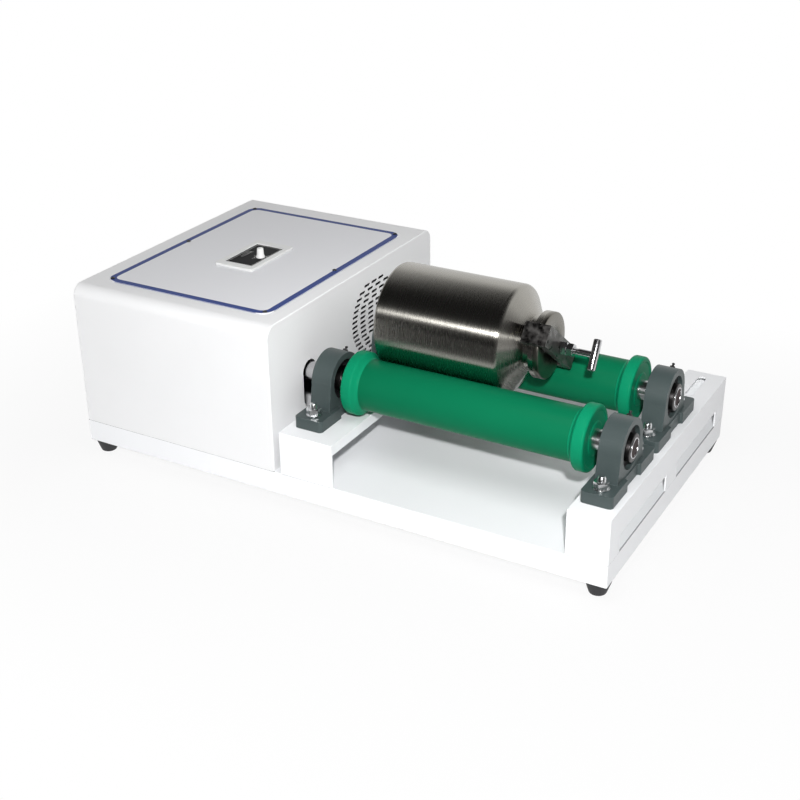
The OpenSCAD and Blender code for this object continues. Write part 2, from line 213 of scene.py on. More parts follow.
def plate(bm, at, size, turn=0.0, thick=0.08):
    """adds a thin bar, with its corners rounded, lying flat"""
    part = bmesh.new()
    bmesh.ops.create_grid(part, x_segments=1, y_segments=1, size=0.5)
    bmesh.ops.scale(part, vec=(size[0] * MM, size[1] * MM, 1), verts=part.verts)
    bmesh.ops.bevel(part, geom=part.verts[:], offset=min(size) * 0.35 * MM, offset_type="OFFSET",
                    affect="VERTICES", segments=2, profile=0.5, material=-1)
    raised = bmesh.ops.extrude_face_region(part, geom=part.faces[:])["geom"]
    top = [v for v in raised if isinstance(v, bmesh.types.BMVert)]
    bmesh.ops.translate(part, vec=(0, 0, thick * MM), verts=top)
    bmesh.ops.recalc_face_normals(part, faces=part.faces)
    join(bm, part, Matrix.Translation(at) @ Matrix.Rotation(turn, 4, "Z"))


def merged(node):
    """a copy of a CAD node with its loose triangles merged into whole faces"""
    bm = bmesh.new()
    bm.from_mesh(CAD[node].data)
    bmesh.ops.remove_doubles(bm, verts=bm.verts, dist=1e-6)
    bmesh.ops.dissolve_limit(bm, angle_limit=radians(0.5), verts=bm.verts, edges=bm.edges)
    return bm


def round_edges(bm, width, segments, from_angle, pick=None):
    """rounds the outer edges that are sharper than an angle, or those of them that pick chooses"""
    outer = [e for e in bm.edges
             if len(e.link_faces) == 2 and e.calc_face_angle_signed() > radians(from_angle)]
    chosen = [e for e in outer if pick is None or pick(e)]
    bmesh.ops.bevel(bm, geom=chosen, offset=width * MM, offset_type="OFFSET", affect="EDGES",
                    segments=segments, profile=0.5, material=-1, clamp_overlap=True)


def eased(node, width, segments=3, from_angle=40, pick=None):
    """a copy of a CAD node with its sharp outer edges rounded"""
    bm = merged(node)
    round_edges(bm, width, segments, from_angle, pick)
    return bm


def loose_parts(node):
    """the box of each separate solid of a CAD node: its lowest corner, highest corner and middle"""
    bm = merged(node)
    left = set(bm.verts)
    boxes = []
    while left:
        reached, waiting = set(), [left.pop()]
        while waiting:
            v = waiting.pop()
            reached.add(v)
            near = {e.other_vert(v) for e in v.link_edges} & left
            left -= near
            waiting += near
        low = Vector([min(v.co[k] for v in reached) for k in range(3)])
        high = Vector([max(v.co[k] for v in reached) for k in range(3)])
        boxes.append((low, high, (low + high) / 2))
    bm.free()
    return sorted(boxes, key=lambda b: tuple(round(c, 4) for c in b[2]))


# ---- shader bench ----

def add(tree, kind, wires=None, **settings):
    """adds a shader node; wires gives each socket a value, or the socket that feeds it"""
    made = tree.nodes.new("ShaderNode" + kind)
    for key, value in settings.items():
        setattr(made, key, value)
    for key, value in (wires or {}).items():
        if isinstance(value, bpy.types.NodeSocket):
            tree.links.new(value, made.inputs[key])
        else:
            made.inputs[key].default_value = value
    return made


def maths(tree, operation, *values):
    return add(tree, "Math", dict(enumerate(values)), operation=operation).outputs[0]


def vectors(tree, operation, *values):
    made = add(tree, "VectorMath", dict(enumerate(values)), operation=operation)
    return made.outputs["Value" if operation == "DOT_PRODUCT" else "Vector"]


def spread(tree, value, low, high, to_low=0.0, to_high=1.0):
    """maps a value from one span to another, held at both ends"""
    return add(tree, "MapRange", {0: value, 1: low, 2: high, 3: to_low, 4: to_high}).outputs[0]


def within(tree, value, low, high):
    """1 between two limits and 0 outside them"""
    return maths(tree, "COMPARE", value, (low + high) / 2, (high - low) / 2)


def per_mm(tree, size):
    """the scale of a pattern whose marks are `size` mm across"""
    return maths(tree, "DIVIDE", 1 / MM, size)


def blend(tree, mask, first, second):
    """mixes two colours by a mask"""
    return add(tree, "Mix", {0: mask, 6: first, 7: second}, data_type="RGBA").outputs[2]


def blend_values(tree, switch, off, on):
    """one value where the switch is 0, the other where it is 1"""
    return maths(tree, "ADD", maths(tree, "MULTIPLY", off, maths(tree, "SUBTRACT", 1.0, switch)),
                 maths(tree, "MULTIPLY", on, switch))


def group(name, inputs, outputs):
    """an empty shader group with named sockets"""
    tree = bpy.data.node_groups.new(name, "ShaderNodeTree")
    for label, kind, value in inputs:
        socket = tree.interface.new_socket(label, in_out="INPUT", socket_type="NodeSocket" + kind)
        socket.default_value = value
    for label, kind in outputs:
        tree.interface.new_socket(label, in_out="OUTPUT", socket_type="NodeSocket" + kind)
    return tree, tree.nodes.new("NodeGroupInput").outputs, tree.nodes.new("NodeGroupOutput").inputs


def use(tree, shared, **values):
    """places a shared group in a material, with this material's own values"""
    placed = tree.nodes.new("ShaderNodeGroup")
    placed.node_tree = shared
    for key, value in values.items():
        placed.inputs[key].default_value = value
    return placed.outputs


def grain_group():
    """fine even grain, and slow clouds over it, on object coordinates"""
    tree, given, out = group("grain_and_clouds",
                             [("Grain Size", "Float", 1.0), ("Cloud Size", "Float", 80.0)],
                             [("Grain", "Float"), ("Clouds", "Float")])
    place = add(tree, "TexCoord").outputs["Object"]
    for label, size, detail in (("Grain", "Grain Size", 2.0), ("Clouds", "Cloud Size", 3.0)):
        scale = per_mm(tree, given[size])
        noise = add(tree, "TexNoise", {"Vector": place, "Scale": scale, "Detail": detail}).outputs[0]
        tree.links.new(noise, out[label])
    return tree


def brushing_group():
    """marks that run round an axis or along a bar: long one way, fine the other"""
    tree, given, out = group("brush_marks",
                             [("Centre", "Vector", (0, 0, 0)), ("Marks", "Vector", (900, 6, 6)),
                              ("Scratches", "Vector", (260, 14, 14))],
                             [("Marks", "Float"), ("Scratches", "Float")])
    place = add(tree, "TexCoord").outputs["Object"]
    moved = vectors(tree, "SUBTRACT", place, given["Centre"])
    for label, detail in (("Marks", 3.0), ("Scratches", 6.0)):
        pulled = vectors(tree, "MULTIPLY", moved, given[label])
        noise = add(tree, "TexNoise", {"Vector": pulled, "Scale": 1.0, "Detail": detail}).outputs[0]
        tree.links.new(noise, out[label])
    return tree


def edge_group():
    """1 where the surface turns an outer edge, broken up as wear is"""
    tree, given, out = group("edge_wear", [("Width", "Float", 0.8), ("Patch Size", "Float", 6.0)],
                             [("Edge", "Float"), ("Worn", "Float")])
    wide = add(tree, "Bevel", {"Radius": maths(tree, "MULTIPLY", given["Width"], MM)}, samples=4)
    true = add(tree, "NewGeometry").outputs["Normal"]
    edge = spread(tree, vectors(tree, "DOT_PRODUCT", wide.outputs[0], true), 0.995, 0.90)
    place = add(tree, "TexCoord").outputs["Object"]
    scale = per_mm(tree, given["Patch Size"])
    patchy = add(tree, "TexNoise", {"Vector": place, "Scale": scale, "Detail": 5.0}).outputs[0]
    tree.links.new(edge, out["Edge"])
    tree.links.new(maths(tree, "MULTIPLY", edge, spread(tree, patchy, 0.45, 0.62)), out["Worn"])
    return tree


GRAIN, BRUSHING, EDGES = grain_group(), brushing_group(), edge_group()
FINISH = {}


def finish(slot, colour, **uniform):
    """a new Principled finish for a slot; values that are the same all over sit on the shader itself"""
    made = bpy.data.materials.new(slot)
    made.use_nodes = True
    shader = made.node_tree.nodes["Principled BSDF"]
    shader.inputs["Base Color"].default_value = (*colour, 1)
    for key, value in uniform.items():
        shader.inputs[key.replace("_", " ")].default_value = value
    FINISH[slot] = made
    return made.node_tree, shader


def wire(tree, shader, **sockets):
    """feeds sockets of the shader; a name's spaces are written as underscores"""
    for key, value in sockets.items():
        tree.links.new(value, shader.inputs[key.replace("_", " ")])


def bump(tree, shader, height, depth_mm):
    """raises the surface by a height pattern, as deep as depth_mm"""
    made = add(tree, "Bump", {"Height": height, "Strength": 1.0, "Distance": depth_mm * MM})
    tree.links.new(made.outputs[0], shader.inputs["Normal"])


def tone(colour, by):
    """a lighter or darker tone of a colour"""
    return (*(c * by for c in colour), 1)


def painted(slot, colour, roughness, peel_mm, cloud=0.03, edge=None, depth=0.03, **uniform):
    """paint or moulding: a fine peel, slow clouds of tone and gloss, and edges that catch wear"""
    tree, shader = finish(slot, colour, **uniform)
    grain = use(tree, GRAIN, **{"Grain Size": peel_mm, "Cloud Size": 60.0})
    shown = blend(tree, grain["Clouds"], tone(colour, 1 - cloud), tone(colour, 1 + cloud))
    rough = spread(tree, grain["Clouds"], 0.3, 0.7, roughness * 0.92, roughness * 1.1)
    if edge:
        wear_and_painted_shade, width, amount = edge
        worn = use(tree, EDGES, Width=width)["Worn"]
        shown = blend(tree, maths(tree, "MULTIPLY", worn, amount), shown, (*wear_and_painted_shade, 1))
    wire(tree, shader, Base_Color=shown, Roughness=rough)
    bump(tree, shader, grain["Grain"], depth)
    return tree, shader


def metal(slot, colour, roughness, centre=(0, 0, 0), marks=(900, 6, 6), scratches=(260, 14, 14),
          vary=0.12, depth=0.01, edge=0.25, **uniform):
    """bare steel: brush or lathe marks in tone, gloss and height, and brighter edges"""
    tree, shader = finish(slot, colour, Metallic=1.0, **uniform)
    lay = use(tree, BRUSHING, Centre=centre, Marks=marks, Scratches=scratches)
    mixed = maths(tree, "MULTIPLY", maths(tree, "ADD", lay["Marks"], lay["Scratches"]), 0.5)
    shown = blend(tree, spread(tree, mixed, 0.3, 0.7), tone(colour, 1 - vary), tone(colour, 1 + vary))
    if edge:
        bright = use(tree, EDGES, Width=0.5)["Edge"]
        shown = blend(tree, maths(tree, "MULTIPLY", bright, edge), shown, tone(colour, 1.5))
    rough = spread(tree, mixed, 0.3, 0.7, roughness * (1 - 1.7 * vary), roughness * (1 + 2 * vary))
    wire(tree, shader, Base_Color=shown, Roughness=rough)
    if depth:
        bump(tree, shader, lay["Marks"], depth)
    return tree, shader


# ---- places taken from the model ----

tray_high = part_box("tray")[1]
lid_low, lid_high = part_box("jar_lid")
jar_axis = (lid_low + lid_high) / 2
panel_low, panel_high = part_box("top_panel")
AXLE = {}
for row in ("front", "rear"):
    low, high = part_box(row + "_sleeve")
    AXLE[row] = (low + high) / 2
BLOCKS = [(side, row) for side in ("left", "right") for row in ("front", "rear")]


# ---- finishes ----

def make_finishes():
    """one finish for each slot, and those of pieces that share a slot but look different"""
    painted("white_paint", TRAY_WHITE, 0.42, 1.6, cloud=0.012, depth=0.02, Specular_IOR_Level=0.35)
    # painted shade: the two seam colours stand for the shadow in the seams under the cover and the bars
    painted("seam_shadow_dark", (0.10, 0.10, 0.10), 0.6, 0.7, cloud=0.1, depth=0.02)
    painted("seam_shadow_pale", (0.32, 0.32, 0.33), 0.6, 0.7, cloud=0.1, depth=0.02)
    painted("rubber_black", (0.018, 0.018, 0.02), 0.62, 0.7, cloud=0.15, depth=0.06,
            edge=((0.06, 0.06, 0.06), 1.2, 0.5))
    painted("bezel_plastic", (0.74, 0.745, 0.74), 0.38, 0.5, cloud=0.01, depth=0.015)
    painted("black_plastic", (0.010, 0.010, 0.011), 0.62, 0.4, cloud=0.1, depth=0.03,
            Specular_IOR_Level=0.1)
    painted("print_white", (0.6, 0.6, 0.59), 0.5, 0.4, cloud=0.02, depth=0.004)
    painted("knob_plastic", (0.84, 0.84, 0.83), 0.25, 0.8, cloud=0.01, depth=0.005, Coat_Weight=0.4)
    painted("bearing_seal", (0.010, 0.010, 0.011), 0.45, 0.6, cloud=0.15, depth=0.02,
            Specular_IOR_Level=0.3)
    painted("green_sleeve", (0.003, 0.136, 0.060), 0.30, 3.0, cloud=0.05, depth=0.02,
            Specular_IOR_Level=0.04)
    painted("green_ring", (0.004, 0.215, 0.103), 0.34, 3.0, cloud=0.05, depth=0.02,
            Specular_IOR_Level=0.03)
    painted("cast_paint", (0.052, 0.070, 0.070), 0.42, 1.1, cloud=0.12, depth=0.16,
            edge=((0.12, 0.15, 0.15), 1.6, 0.5), Specular_IOR_Level=0.4)
    panel_finish()
    cabinet_finish()
    metal("zinc_steel", (0.76, 0.77, 0.78), 0.24, marks=(70, 70, 70), scratches=(300, 300, 300), depth=0.01)
    metal("dull_zinc", (0.09, 0.09, 0.09), 0.45, marks=(70, 70, 70), scratches=(300, 300, 300), depth=0.01)
    metal("turned_steel", (0.58, 0.58, 0.59), 0.22, centre=AXLE["front"], marks=(1400, 8, 8), depth=0.004)
    painted("dark_end", (0.034, 0.021, 0.021), 0.6, 0.7, cloud=0.2, depth=0.02, Specular_IOR_Level=0.2)
    metal("bearing_steel", (0.055, 0.052, 0.052), 0.34, centre=AXLE["front"], marks=(1200, 8, 8),
          depth=0.004)
    metal("stainless_jar", (0.37, 0.357, 0.325), 0.27, centre=jar_axis, marks=(900, 5, 5),
          scratches=(300, 60, 60), vary=0.04, depth=0, edge=0.1, Anisotropic=1.0, Anisotropic_Rotation=0.25)
    metal("stainless_lid", (0.19, 0.18, 0.158), 0.30, centre=jar_axis, marks=(700, 500, 500),
          scratches=(200, 60, 60), vary=0.10)
    metal("stainless_clamp", (0.15, 0.145, 0.14), 0.40, marks=(90, 220, 90), scratches=(160, 160, 160),
          vary=0.45, depth=0.05, edge=0.35)
    tree = FINISH["stainless_jar"].node_tree
    round_axis = add(tree, "Tangent", direction_type="RADIAL", axis="X")
    tree.links.new(round_axis.outputs[0], tree.nodes["Principled BSDF"].inputs["Tangent"])


def cabinet_finish():
    """white paint outside; painted shade, near-black, on the faces inside and on the walls of the vent slots
    """
    tree, shader = painted("cabinet_paint_and_painted_shade", CABINET_WHITE, 0.42, 1.6, cloud=0.012, depth=0.02,
                           Specular_IOR_Level=0.35)
    low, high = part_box("cabinet_cover")
    vents_low = Vector((high.x - 4.2 * MM, low.y + 8 * MM, low.z + 20 * MM))
    vents_high = Vector((high.x - 0.4 * MM, high.y - 8 * MM, high.z - 20 * MM))
    place = add(tree, "TexCoord").outputs
    from_middle = vectors(tree, "SUBTRACT", place["Object"], (low + high) / 2)
    shaded_inside = maths(tree, "LESS_THAN", vectors(tree, "DOT_PRODUCT", from_middle, place["Normal"]), 0.0)
    spot = add(tree, "SeparateXYZ", {0: place["Object"]}).outputs
    across, along, up = [within(tree, spot[k], vents_low[k], vents_high[k]) for k in range(3)]
    shaded_slot_walls = maths(tree, "MULTIPLY", maths(tree, "MULTIPLY", across, along), up)
    painted_white = shader.inputs["Base Color"].links[0].from_socket
    # painted shade: near-black stands for the shade inside the cover and in its vent slots
    wear_and_painted_shade = maths(tree, "MAXIMUM", shaded_inside, shaded_slot_walls)
    wire(tree, shader, Base_Color=blend(tree, wear_and_painted_shade, painted_white, (0.02, 0.02, 0.02, 1)))


def panel_finish():
    """satin white plate with a blue line printed round its edge"""
    white, blue = (0.765, 0.77, 0.795), (0.007, 0.034, 0.20)
    tree, shader = finish("panel_white", white, Specular_IOR_Level=0.08)
    grain = use(tree, GRAIN, **{"Grain Size": 0.6, "Cloud Size": 90.0})
    shown = blend(tree, grain["Clouds"], tone(white, 0.995), tone(white, 1.005))
    middle, half = (panel_low + panel_high) / 2, (panel_high - panel_low) / 2
    half_line, blur, round_by = 4.2 * MM, 0.15 * MM, PANEL_CORNER * MM
    place = add(tree, "TexCoord").outputs["Object"]
    folded = vectors(tree, "ABSOLUTE", vectors(tree, "SUBTRACT", place, middle))
    sides = add(tree, "SeparateXYZ", {0: folded}).outputs
    past = [maths(tree, "SUBTRACT", sides[k], half[k] - half_line - round_by) for k in (0, 1)]
    corner = maths(tree, "SQRT", maths(tree, "ADD", *[
        maths(tree, "POWER", maths(tree, "MAXIMUM", p, 0.0), 2.0) for p in past]))
    inner = maths(tree, "MINIMUM", maths(tree, "MAXIMUM", *past), 0.0)
    off_line = maths(tree, "ABSOLUTE", maths(tree, "SUBTRACT", maths(tree, "ADD", corner, inner), round_by))
    printed = spread(tree, off_line, half_line + blur, half_line - blur)
    shown = blend(tree, printed, shown, (*blue, 1))
    rough = spread(tree, grain["Clouds"], 0.3, 0.7, 0.295, 0.305)
    wire(tree, shader, Base_Color=shown, Roughness=rough)
    bump(tree, shader, grain["Grain"], 0.008)


make_finishes()


# ---- sheet metal, feet and panel ----

def make_sheet_metal():
    """the folded tray and bars, and the plate on the cabinet"""
    for node, width in (("tray", 1.4), ("left_bar", 1.2), ("right_bar", 1.2)):
        finished(eased(node, width), "folded_" + node, "white_paint", (node,), even=True)
    finished(eased("top_panel", 0.5, 2, 60), "control_plate", "panel_white", ("top_panel",), even=True)


def make_cabinet():
    """the folded cover: its welded ends and its bottom rim are eased, its vent slots stay as punched"""
    low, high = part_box("cabinet_cover")
    near, bend = 0.1 * MM, (COVER_BEND + 0.5) * MM

    def on_end(v):
        return min(v.co.x - low.x, high.x - v.co.x) < near

    def on_side(v):
        return min(v.co.y - low.y, high.y - v.co.y) < near

    def on_outline(v):
        return min(v.co.y - low.y, high.y - v.co.y) < bend or v.co.z > high.z - 2 * near

    def end_edge(e):
        first, last = e.verts
        above_rim = abs(first.co.z - last.co.z) > near or first.co.z > low.z + 1 * MM
        return above_rim and all(on_end(v) and on_outline(v) for v in e.verts)

    def rim_edge(e):
        low_down = all(v.co.z < low.z + near / 2 for v in e.verts)
        return low_down and any(on_end(v) or on_side(v) for v in e.verts)

    bm = eased("cabinet_cover", 1.8, pick=end_edge)
    round_edges(bm, 0.7, 2, 40, rim_edge)
    # its finish carries painted shade inside the cover and on the vent slot walls
    finished(bm, "drive_cabinet", "white_paint", ("cabinet_cover",), even=True, look="cabinet_paint_and_painted_shade")


def make_seam_shadows():
    """painted shade: the strips that the cover and the bars stand on, each a dark line above the tray for its
    seam's shadow
    """
    for node, sides, look in (("cabinet_cover", "LRFB", "seam_shadow_dark"), ("left_bar", "FB", "seam_shadow_pale"),
                              ("right_bar", "RFB", "seam_shadow_pale")):
        low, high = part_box(node)
        inset, wide, thick = 0.15 * MM, 1.2 * MM, 0.9
        bm = bmesh.new()
        for side in sides:
            start = Vector((low.x + inset, low.y + inset))
            end = Vector((high.x - inset, high.y - inset))
            if side == "L":
                end.x = start.x + wide
            elif side == "R":
                start.x = end.x - wide
            elif side == "F":
                end.y = start.y + wide
            else:
                start.y = end.y - wide
            middle = (start + end) / 2
            plate(bm, (middle.x, middle.y, low.z - thick / 2 * MM), (end - start) / MM, thick=thick)
        finished(bm, node + "_seam_shadow_strip", "rubber_black", body="root", look=look)


def make_feet():
    """tapered rubber feet, each with a screw head in the well under it"""
    well, deep = 5, 3
    bm = bmesh.new()
    for low, high, middle in loose_parts("feet"):
        base = (middle.x, middle.y, low.z)
        top, wide = (high.z - low.z) / MM, (high.x - low.x) / 2 / MM
        turned(bm, [(0, well), (0, wide - 6, 1.8), (top - 2, wide - 0.6, 0.5), (top, wide, 0.4), (top, 0),
                    (deep, 0), (deep, well)], base, UP, 48)
        turned(bm, [(1.2, 0), (1.2, well - 0.8, 0.4), (deep, well - 0.8), (deep, 0)], base, UP, 24)
    finished(bm, "rubber_feet", "rubber_black", ("feet",))


def cross_head(bm, at, radius, height):
    """adds a domed screw head with a cross recess: a grid drawn in to a disc, domed and cut"""
    side, slot, slot_reach, recess = 0.35, 0.14, 0.62, 0.5
    part = bmesh.new()
    bmesh.ops.create_grid(part, x_segments=18, y_segments=18, size=1)
    for v in part.verts:
        out = max(abs(v.co.x), abs(v.co.y))
        if out > 0:
            v.co *= out / v.co.length
        in_cross = min(abs(v.co.x), abs(v.co.y)) < slot and out < slot_reach
        v.co.z = side + (1 - side) * sqrt(max(0, 1 - out ** 2)) - (recess if in_cross else 0)
    rim = [e for e in part.edges if e.is_boundary]
    wall = bmesh.ops.extrude_edge_only(part, edges=rim)["geom"]
    for v in wall:
        if isinstance(v, bmesh.types.BMVert):
            v.co.z = 0
    bmesh.ops.scale(part, vec=(radius * MM, radius * MM, height * MM), verts=part.verts)
    bmesh.ops.recalc_face_normals(part, faces=part.faces)
    join(bm, part, Matrix.Translation(at))


def make_panel_screws():
    """the plate's screws, dulled"""
    bm = bmesh.new()
    for low, high, middle in loose_parts("panel_screws"):
        cross_head(bm, (middle.x, middle.y, low.z), (high.x - low.x) / 2 / MM, (high.z - low.z) / MM)
    finished(bm, "control_plate_screws", "zinc_steel", ("panel_screws",), crease=50, look="dull_zinc")


# ---- speed controller ----

def numeral(bm, text, at, height):
    """adds a number as thin raised print, about its own middle"""
    curve = bpy.data.curves.new("numeral", "FONT")
    curve.body, curve.size = text, height * MM * 1.35
    curve.align_x, curve.align_y = "CENTER", "CENTER"
    curve.extrude = 0.04 * MM
    letters = bpy.data.objects.new("numeral", curve)
    scene.collection.objects.link(letters)
    bpy.context.view_layer.update()
    mesh = letters.to_mesh()
    part = bmesh.new()
    part.from_mesh(mesh)
    letters.to_mesh_clear()
    bpy.data.objects.remove(letters)
    bpy.data.curves.remove(curve)
    join(bm, part, Matrix.Translation(at))


def make_controller():
    """the bezel, the black face with its print, and the knob"""
    finished(eased("controller_frame", 0.9, 3, 60), "controller_bezel", "bezel_plastic",
             ("controller_frame",), even=True)
    knob_low, knob_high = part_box("speed_knob")
    make_print((knob_low + knob_high) / 2)
    finished(eased("controller_face", 0.3, 2, 60), "controller_plate", "black_plastic",
             ("controller_face",), even=True)
    make_knob(knob_low, knob_high)


def make_print(knob):
    """the print on the face: the dial's marks and numbers, a frame, and a row of bars"""
    low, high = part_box("controller_face")
    middle, face = (low + high) / 2, high.z + 0.01 * MM
    marks_at, numbers_x, numbers_y = 7.3, 10.9, 11.6
    bm = bmesh.new()
    for step in range(DIAL_STEPS + 1):
        angle = DIAL_START - DIAL_SWEEP * step / DIAL_STEPS
        long = 2.2 if step % 3 == 0 else 1.2
        out = (marks_at + long / 2) * MM
        plate(bm, (knob.x + out * cos(angle), knob.y + out * sin(angle), face), (long, 0.35), angle)
    for count in range(DIAL_NUMBERS + 1):
        angle = DIAL_START - DIAL_SWEEP * count / DIAL_NUMBERS
        x, y = knob.x + numbers_x * MM * cos(angle), knob.y + numbers_y * MM * sin(angle)
        numeral(bm, str(2 * count), (x, y, face + 0.04 * MM), 1.6)
    margin = 3
    width, depth = (high.x - low.x) / MM - 2 * margin, (high.y - low.y) / MM - 2 * margin
    for side in (-1, 1):
        plate(bm, (middle.x, middle.y + side * depth / 2 * MM, face), (width, 0.4))
        plate(bm, (middle.x + side * width / 2 * MM, middle.y, face), (0.4, depth))
    for row in range(6):
        plate(bm, (low.x + 9 * MM, middle.y + (row * 4 - 10) * MM, face), (4 + row, 0.5))
    finished(bm, "dial_print", "black_plastic", body="root", look="print_white")


def make_knob(low, high):
    """a fluted knob on a skirt, with its pointer line"""
    middle, tall, skirt = (low + high) / 2, (high.z - low.z) / MM, (high.x - low.x) / 2 / MM
    bm = bmesh.new()
    turned(bm, [(0, 0), (0, skirt, 0.3), (1.8, skirt, 0.7), (3.0, skirt * 0.84, 0.6), (5, skirt * 0.80),
                (9, skirt * 0.75), (tall, skirt * 0.70, 1.0), (tall, 0)],
           (middle.x, middle.y, low.z), UP, 96)
    flutes, cut = 16, 0.05
    for v in bm.verts:
        up, x, y = (v.co.z - low.z) / MM, v.co.x - middle.x, v.co.y - middle.y
        if 3.5 < up < tall - 0.8:
            flute = 1 - cut * max(0, cos(flutes * atan2(y, x))) ** 2
            v.co.x, v.co.y = middle.x + x * flute, middle.y + y * flute
    finished(bm, "fluted_knob", "knob_plastic", ("speed_knob",))
    bm = bmesh.new()
    out = 0.30 * skirt * MM
    plate(bm, (middle.x + out * cos(DIAL_START), middle.y + out * sin(DIAL_START), high.z - 0.05 * MM),
          (0.5 * skirt, 0.7), DIAL_START)
    finished(bm, "knob_pointer", "black_plastic", body=body_of("speed_knob"))


# ---- rollers ----

def make_rollers():
    """two rollers, each a sleeve, its end rings, a shaft and the inner rings of its bearings"""
    for row in ("front", "rear"):
        make_sleeve(row)
        make_end_rings(row)
        make_shaft(row)
        make_inner_rings(row)


def make_sleeve(row):
    """the plain tube of green rubber"""
    low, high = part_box(row + "_sleeve")
    radius, long, bore = (high.z - low.z) / 2 / MM, (high.x - low.x) / MM, CORE_RADIUS + 0.05
    bm = bmesh.new()
    turned(bm, [(0, bore), (0, radius, 0.8), (long, radius, 0.8), (long, bore)],
           (low.x, AXLE[row].y, AXLE[row].z), steps=96)
    finished(bm, row + "_roller_sleeve", "green_sleeve", (row + "_sleeve",))


def make_end_rings(row):
    """the moulded rings: a lip over the sleeve's end, a swelling rim and a shallow recess in the face"""
    low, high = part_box(row + "_sleeve")
    sleeve, inner, bore = (high.z - low.z) / 2 / MM, 28, SHAFT_RADIUS + 0.1
    bm = bmesh.new()
    for ring_low, ring_high, middle in loose_parts(row + "_rings"):
        wide, ring = (ring_high.x - ring_low.x) / MM, (ring_high.z - ring_low.z) / 2 / MM
        right = middle.x > AXLE[row].x
        turned(bm, [(0, bore), (0, inner), (-5, inner), (-5, sleeve - 0.1), (-2.5, sleeve + 0.7, 1.2),
                    (0.4, ring - 3.5, 2), (2.2, ring, 2.4), (wide, ring, 3.2), (wide, ring - 6, 0.4),
                    (wide - 0.8, ring - 7, 0.5), (wide - 0.8, 21, 0.5), (wide, 20, 0.5), (wide, bore)],
               (ring_low.x if right else ring_high.x, middle.y, middle.z),
               ALONG if right else Matrix.Rotation(pi, 4, "Z"), 96, 5)
    finished(bm, row + "_end_rings", "green_ring", (row + "_rings",))


def make_shaft(row):
    """a turned shaft with chamfered ends, and the dark face recessed in its right end"""
    low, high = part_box(row + "_shaft")
    long, at = (high.x - low.x) / MM, (low.x, AXLE[row].y, AXLE[row].z)
    recess, floor = SHAFT_RADIUS - 1.2, long - 1.6
    bm = bmesh.new()
    turned(bm, [(0, 0), (0, SHAFT_RADIUS, 1.0), (long, SHAFT_RADIUS, 1.0), (long, recess, 0.3),
                (floor, recess - 0.2), (floor, 0)], at, steps=64)
    finished(bm, row + "_roller_shaft", "turned_steel", (row + "_shaft",))
    disc, back, front, dimple = recess - 0.15, floor - 0.1, floor + 0.3, floor + 0.1
    bm = bmesh.new()
    turned(bm, [(back, 0), (back, disc), (front, disc, 0.2), (front, 3.2, 0.1), (dimple, 2.6), (dimple, 0)],
           at, steps=48)
    finished(bm, row + "_shaft_end", "turned_steel", body=row + "_roller", look="dark_end")


def make_inner_rings(row):
    """the bearings' inner rings, each with two grub screws"""
    bore, hole, thick = SHAFT_RADIUS + 0.05, 1.4, 2.5
    bm = bmesh.new()
    for low, high, middle in loose_parts(row + "_inner_rings"):
        wide, outer = (high.x - low.x) / MM, (high.z - low.z) / 2 / MM
        turned(bm, [(0, bore), (0, outer, 1.1), (wide, outer, 1.1), (wide, bore)],
               (low.x, middle.y, middle.z), steps=64)
        top = outer + 0.05
        grub = [(14, 0), (14, thick), (top, thick, 0.4), (top, hole), (15.4, hole), (15.4, 0)]
        for angle in (35, 155):
            turned(bm, grub, (high.x - 4.5 * MM, middle.y, middle.z),
                   Matrix.Rotation(radians(angle), 4, "X") @ UP, 12)
    finished(bm, row + "_bearing_inner_rings", "bearing_steel", (row + "_inner_rings",))


# ---- jar and clamp ----

def make_jar():
    """the hollow jar: a cylinder, a cone, a short neck and a flange that carries the lid"""
    low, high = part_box("jar_body")
    radius, flange, long = (high.z - low.z) / 2 / MM, (lid_high.z - lid_low.z) / 2 / MM, (high.x - low.x) / MM
    inner, mouth, floor = radius - JAR_WALL, NECK_RADIUS - JAR_WALL, 6
    flange_at = long - FLANGE_THICK
    neck_at = flange_at - NECK_LENGTH
    cone_at = neck_at - CONE_LENGTH
    bm = bmesh.new()
    turned(bm, [(0, 0), (0, radius, 5), (cone_at, radius, 4), (neck_at, NECK_RADIUS, 1.5),
                (flange_at, NECK_RADIUS, 0.4), (flange_at, flange, 0.8), (long, flange, 0.8),
                (long, mouth), (neck_at, mouth), (cone_at - 2.5, inner), (floor, inner), (floor, 0)],
           (low.x, jar_axis.y, jar_axis.z), steps=128, segments=5)
    finished(bm, "milling_jar", "stainless_jar", ("jar_body",))
    make_lid(flange, mouth - 0.5)
    finished(eased("clamp_yoke", 0.9, 2), "clamp_bar", "stainless_clamp", ("clamp_yoke",), even=True)
    make_clamp_screw()


def make_lid(radius, plug):
    """the lid, with its plug in the jar's mouth and a shallow seat for the screw's foot"""
    deep, seat = (lid_high.x - lid_low.x) / MM, 14
    inner_face = deep - LID_THICK
    bm = bmesh.new()
    turned(bm, [(0, 0), (0, plug, 0.6), (inner_face, plug), (inner_face, radius, 0.6), (deep, radius, 1.4),
                (deep, seat), (deep - 0.4, seat - 0.6), (deep - 0.4, 0)],
           (lid_low.x, jar_axis.y, jar_axis.z), steps=96)
    finished(bm, "jar_lid_plate", "stainless_lid", ("jar_lid",))


